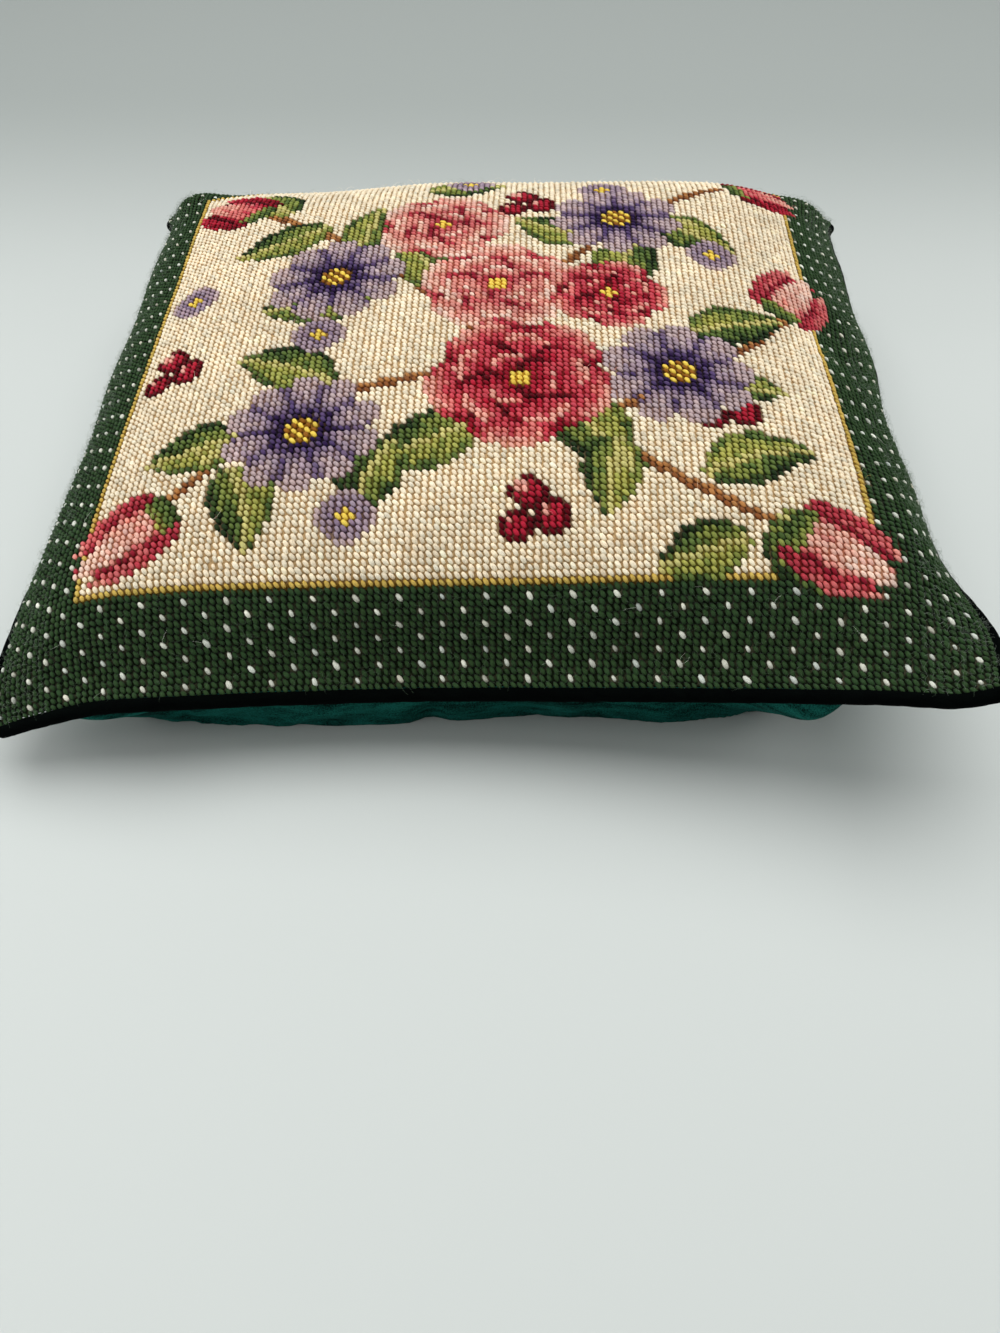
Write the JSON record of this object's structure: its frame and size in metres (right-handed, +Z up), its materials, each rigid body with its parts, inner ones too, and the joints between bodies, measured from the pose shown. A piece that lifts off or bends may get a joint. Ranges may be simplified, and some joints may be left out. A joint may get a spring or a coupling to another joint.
{
  "type": "needlepoint cushion",
  "caption": "Square needlepoint cushion: a floral stitched canvas panel with a dotted green border, dark velvet piping and a filled velvet back.",
  "frame": {"origin": "bottom centre of the cushion, on the flat of the velvet back where it rests", "axes": "+Z up from the velvet back to the stitched face, +X to the right and +Y to the far edge as the design is read"},
  "size_m": [0.3594, 0.355, 0.104],
  "materials": {
    "needlepoint_wool": "tent-stitched wool on canvas",
    "piping_velvet": "near-black green velvet over cord",
    "back_velvet": "deep teal cotton velvet"
  },
  "bodies": {
    "root": {"needlepoint_panel": "needlepoint_wool", "velvet_piping": "piping_velvet", "velvet_body": "back_velvet"}
  },
  "joints": []
}
